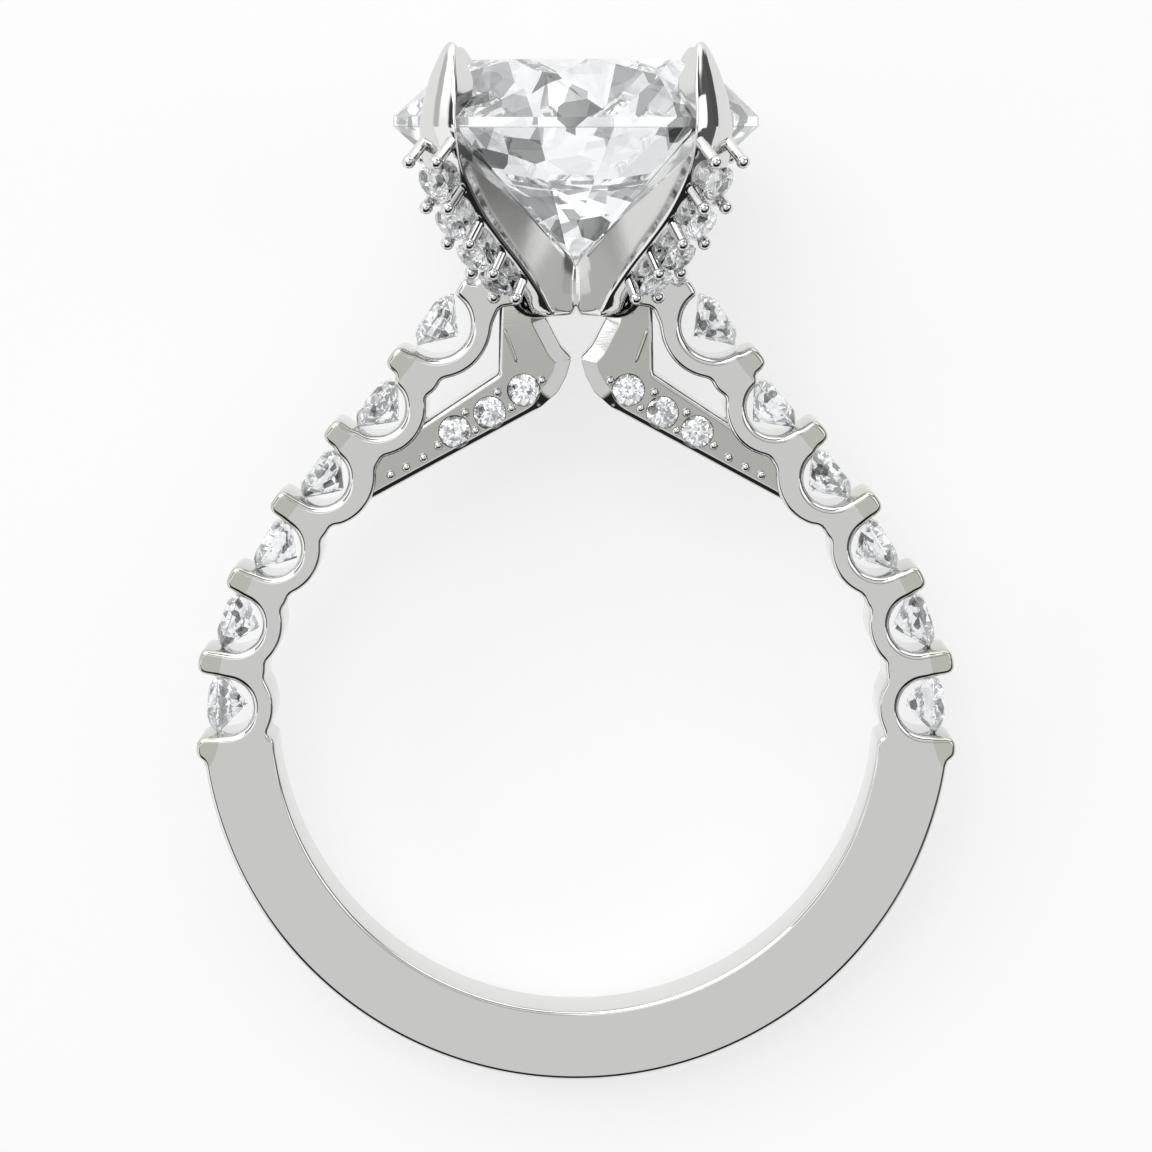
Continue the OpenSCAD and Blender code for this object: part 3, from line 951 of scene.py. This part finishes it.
class Copies(Nodes):
    """A geometry tree with named inputs that puts copies of a part on points."""

    def __init__(self, name, inputs):
        super().__init__(bpy.data.node_groups.new(name, "GeometryNodeTree"))
        face = self.tree.interface
        face.new_socket("Geometry", in_out="OUTPUT", socket_type="NodeSocketGeometry")
        face.new_socket("Geometry", in_out="INPUT", socket_type="NodeSocketGeometry")
        self.ids = {}
        for label, kind in inputs.items():
            self.ids[label] = face.new_socket(label, in_out="INPUT", socket_type=kind).identifier

    def given(self, label):
        """One of the tree's own inputs."""
        return self.node("NodeGroupInput", out=label)

    def finish(self, name, source, part, values):
        """Copies of the part on the source's points, made real, with their material, as a plain object."""
        facing = self.node(
            "GeometryNodeInputNamedAttribute", {"data_type": "FLOAT_VECTOR"}, {"Name": "facing"}, "Attribute")
        turn = self.node("FunctionNodeAlignRotationToVector", {"axis": "Z"}, {"Vector": facing})
        copies = self.node("GeometryNodeInstanceOnPoints", None, {
            "Points": self.given("Geometry"), "Instance": part, "Rotation": turn})
        real = self.node("GeometryNodeRealizeInstances", None, {"Geometry": copies})
        dressed = self.node("GeometryNodeSetMaterial", None, {
            "Geometry": real, "Material": self.given("Material")})
        self.node("NodeGroupOutput", None, {"Geometry": dressed})
        modifier = source.modifiers.new(name, "NODES")
        modifier.node_group = self.tree
        for label, value in values.items():
            modifier[self.ids[label]] = value
        source.update_tag()
        context = bpy.context
        context.view_layer.update()
        done = source.evaluated_get(context.evaluated_depsgraph_get())
        mesh = bpy.data.meshes.new_from_object(done)
        source.modifiers.remove(modifier)
        bpy.data.objects.remove(source)
        if not mesh.polygons:
            raise RuntimeError(name + " came out empty")
        mesh.name = name
        return put_in_scene(name, mesh)


def points_object(name, points, directions):
    """Bare points on the ring at rest, each with the way that its copy's Z axis faces."""
    mesh = bpy.data.meshes.new(name)
    mesh.from_pydata([AT_REST @ Vector(p) for p in points], [], [])
    layer = mesh.attributes.new("facing", "FLOAT_VECTOR", "POINT")
    turn = AT_REST.to_3x3()
    layer.data.foreach_set("vector", [c for d in directions for c in (turn @ Vector(d)).normalized()])
    return put_in_scene(name, mesh)


class RING_OT_studs(bpy.types.Operator):
    """Places the round-ended studs along the claws with Geometry Nodes"""
    bl_idname = "ring.studs"
    bl_label = "Studs"

    def execute(self, context):
        s = context.scene.ring_settings
        points, ways = [], []
        for turn in CLAW_TURNS:
            for out, z, lean, spread in STUDS:
                a = math.radians(lean)
                for side in (-1, 1):
                    points.append(around(turn, out, z, side * spread))
                    ways.append(around(turn, math.cos(a), -math.sin(a), 0))
        t = Copies("stud_copies", {
            "Rod diameter": "NodeSocketFloat", "Rod length": "NodeSocketFloat",
            "End diameter": "NodeSocketFloat", "Material": "NodeSocketMaterial"})
        rod = t.node("GeometryNodeMeshCylinder", None, {
            "Vertices": 20, "Radius": t.given("Rod diameter") * 0.5, "Depth": t.given("Rod length")})
        back = t.node("ShaderNodeCombineXYZ", None, {"Z": t.given("Rod length") * -0.5})
        moved = t.node("GeometryNodeTransform", None, {"Geometry": rod, "Translation": back})
        end = t.node("GeometryNodeMeshUVSphere", None, {
            "Segments": 20, "Rings": 12, "Radius": t.given("End diameter") * 0.5})
        smooth_end = t.node("GeometryNodeSetShadeSmooth", None, {"Geometry": end})
        stud = t.node("GeometryNodeJoinGeometry", None, {"Geometry": [moved, smooth_end]})
        settle(t.finish("studs", points_object("stud_points", points, ways), stud, {
            "Rod diameter": s.stud_diameter, "Rod length": s.stud_length, "End diameter": s.ball_diameter,
            "Material": polished_gold("polished_white_gold_studs", s, s.gold_colour)}))
        return {"FINISHED"}


class RING_OT_beads(bpy.types.Operator):
    """Places the grain beads beside the bridges' stones with Geometry Nodes"""
    bl_idname = "ring.beads"
    bl_label = "Beads"

    def execute(self, context):
        s = context.scene.ring_settings
        points, ways = [], []
        for x_sign in (-1, 1):
            for side in (-1, 1):
                for x, z in BEADS:
                    points.append((x_sign * x, side * BRIDGE_HALF, z))
                    ways.append((0, side, 0))
        t = Copies("bead_copies", {"Diameter": "NodeSocketFloat", "Material": "NodeSocketMaterial"})
        ball = t.node("GeometryNodeMeshUVSphere", None, {
            "Segments": 24, "Rings": 14, "Radius": t.given("Diameter") * 0.5})
        bead = t.node("GeometryNodeSetShadeSmooth", None, {"Geometry": ball})
        settle(t.finish("beads", points_object("bead_points", points, ways), bead, {
            "Diameter": s.bead_diameter,
            "Material": polished_gold("polished_white_gold_beads", s, s.gold_colour)}))
        return {"FINISHED"}


class RING_OT_stones(bpy.types.Operator):
    """Gives every stone its clear cut finish"""
    bl_idname = "ring.stones"
    bl_label = "Stones"

    def execute(self, context):
        s = context.scene.ring_settings
        centre = cut_diamond("centre_diamond", s, 1 / (0.85 * MM), 0.2)
        small = cut_diamond("small_diamond", s, 1 / (0.25 * MM), 0.26)
        for name, node in frame["nodes"].items():
            if name != "ring_mount":
                node.data.materials.clear()
                node.data.materials.append(centre if name == "centre_stone" else small)
        return {"FINISHED"}


# Stage

# Metres and watts. A lamp's direction is in the upright ring
FLOOR_HALF = 1.5
LAMPS = (
    ("top_light", (-0.35, -0.8, 0.55), 0.16, 0.16),
    ("side_light", (0.7, -0.6, 0.2), 0.12, 0.06),
)
LAMPS_AIM = (0, 0, 0.004)
LAMP_DISTANCE = 0.25

# The photograph's camera: its frame, focal length and horizon in pixels. Its eye is in the upright ring
FRAME_PX, FOCAL_PX, HORIZON_PX = 1152, 3132.0, 109.0
CAMERA_SHIFT = 0.125
CAMERA_EYE = (0, -85, 16.5)
SENSOR_W = 36.0


def local_way(x, y, z):
    """A direction in the upright ring, as the ring lies."""
    return (AT_REST.to_3x3() @ Vector((x, y, z))).normalized()


def studio_world():
    """A soft white room with a greyer front and light and dark cards, which only the metal and the stones
    see. The camera sees a plain pale backdrop."""
    world = bpy.data.worlds.new("studio")
    bpy.context.scene.world = world
    world.use_nodes = True
    s = Nodes(world.node_tree)
    way = s.node("ShaderNodeTexCoord", out=0)

    def along(direction):
        return s.node("ShaderNodeVectorMath", {"operation": "DOT_PRODUCT"}, {0: way, 1: tuple(direction)}, 1)

    def ease(value, low, high):
        return s.node("ShaderNodeMapRange", {"interpolation_type": "SMOOTHSTEP", "clamp": True}, {
            "Value": value, "From Min": low, "From Max": high, "To Min": 0.0, "To Max": 1.0})

    def span(value, low, high, soft=0.03):
        return ease(value, low - soft, low + soft) * (1.0 - ease(value, high - soft, high + soft))

    front, up, right = (along(local_way(*way)) for way in ((0, -1, 0), (0, 0, 1), (1, 0, 0)))
    upper, lower = ease(up, 0.15, 0.4), 1.0 - ease(up, -0.4, -0.15)
    far_right, far_left = ease(right, 0.60, 0.75), 1.0 - ease(right, -0.75, -0.60)
    sides = far_right + far_left
    light = 1.15 - 0.37 * ease(front, 0.74, 0.86)
    raised = ease(up, -0.065, -0.055)
    level = raised * (1.0 - ease(up, 0.06, 0.08))
    raised = raised * (1.0 - ease(up, 0.5, 0.7))
    ahead, to_right = ease(front, 0.62, 0.7) * level, ease(right, -0.006, 0.006)
    beside = span(front, -0.12, 0.22) * raised
    behind = span(front, -0.85, -0.15) * raised * sides
    # Where each card hangs and how bright it is. A later card covers an earlier one
    for where, shade in (
        (span(front, 0.56, 0.76) * (1.0 - span(up, -0.13, -0.05, 0.02)), 0.06),
        (span(front, 0.12, 0.50) * upper, 1.7),
        (span(front, -0.20, 0.82) * lower * (1.0 - sides), 0.02),
        (span(front, 0.08, 0.60) * far_right, 0.12),
        (ahead * to_right, 0.66 - 0.47 * ease(up, -0.057, -0.012)),
        (ahead * (1.0 - to_right), 1.31),
        (beside * far_right, 0.1),
        (beside * far_left, 0.62),
        (behind, 0.45),
    ):
        light = light + where * (shade - light)
    room = s.node("ShaderNodeBackground", None, {"Color": light})
    plain = s.node("ShaderNodeBackground", None, {"Color": (0.94, 0.94, 0.94, 1.0)})
    seen = s.node("ShaderNodeLightPath")
    both = s.node("ShaderNodeMixShader", None, {0: seen, 1: room, 2: plain})
    s.node("ShaderNodeOutputWorld", None, {"Surface": both})


class RING_OT_stage(bpy.types.Operator):
    """Makes the pale floor, the soft studio light and the camera"""
    bl_idname = "ring.stage"
    bl_label = "Stage"

    def execute(self, context):
        s = context.scene.ring_settings
        scene = context.scene
        mesh = bpy.data.meshes.new("floor")
        corners = [(x * FLOOR_HALF, y * FLOOR_HALF, 0) for x, y in ((-1, -1), (1, -1), (1, 1), (-1, 1))]
        mesh.from_pydata(corners, [], [(0, 1, 2, 3)])
        floor = put_in_scene("floor", mesh)
        material, sh = new_material("pale_floor")
        cloud = sh.noise(sh.node("ShaderNodeTexCoord", out=3), 12.0, detail=0.0)
        tint = sh.blend(cloud, colour(s.floor_colour), colour(s.floor_colour, 0.99))
        shell = sh.node("ShaderNodeBsdfPrincipled", None, {
            "Base Color": tint, "Roughness": 0.9, "Specular IOR Level": 0.1,
            "Emission Color": (1.0, 1.0, 1.0, 1.0), "Emission Strength": 0.67})
        sh.node("ShaderNodeOutputMaterial", None, {"Surface": shell})
        mesh.materials.append(material)

        studio_world()
        for name, way, width, power in LAMPS:
            data = bpy.data.lights.new(name, "AREA")
            data.size, data.energy = width, power
            lamp = put_in_scene(name, data)
            way = local_way(*way)
            lamp.location = Vector(LAMPS_AIM) + way * LAMP_DISTANCE
            lamp.rotation_mode = "QUATERNION"
            lamp.rotation_quaternion = (-way).to_track_quat("-Z", "Y")

        data = bpy.data.cameras.new("camera")
        camera = put_in_scene("camera", data)
        data.sensor_width = SENSOR_W
        data.lens = SENSOR_W * FOCAL_PX / FRAME_PX
        data.shift_y = -CAMERA_SHIFT
        data.clip_start, data.clip_end = 0.001, 10
        pitch = math.atan((FRAME_PX / 2 - HORIZON_PX - CAMERA_SHIFT * FRAME_PX) / FOCAL_PX)
        level = Matrix.Rotation(REST_TILT - math.pi / 2, 4, "X")
        turn = level @ Matrix.Rotation(math.pi / 2 - pitch, 4, "X")
        camera.matrix_world = Matrix.Translation(AT_REST @ Vector(CAMERA_EYE)) @ turn
        scene.camera = camera
        scene.view_settings.view_transform = "Standard"
        return {"FINISHED"}


STEPS = ("band", "bridges", "head", "studs", "beads", "stones", "stage")


class RING_PT_panel(bpy.types.Panel):
    """Lists the ring's steps and settings"""
    bl_idname = "RING_PT_panel"
    bl_label = "Cathedral setting ring"
    bl_space_type = "VIEW_3D"
    bl_region_type = "UI"
    bl_category = "Ring"

    def draw(self, context):
        s = context.scene.ring_settings
        for key in s.bl_rna.properties.keys():
            if key not in ("rna_type", "name"):
                self.layout.prop(s, key)
        for step in STEPS:
            self.layout.operator("ring." + step)


CLASSES = (
    RingSettings, RING_OT_band, RING_OT_bridges, RING_OT_head, RING_OT_studs, RING_OT_beads,
    RING_OT_stones, RING_OT_stage, RING_PT_panel,
)


def register():
    for c in CLASSES:
        bpy.utils.register_class(c)
    bpy.types.Scene.ring_settings = PointerProperty(type=RingSettings)


def unregister():
    del bpy.types.Scene.ring_settings
    for c in reversed(CLASSES):
        bpy.utils.unregister_class(c)


def main():
    register()
    for step in STEPS:
        getattr(bpy.ops.ring, step)()


if __name__ == "__main__":
    main()
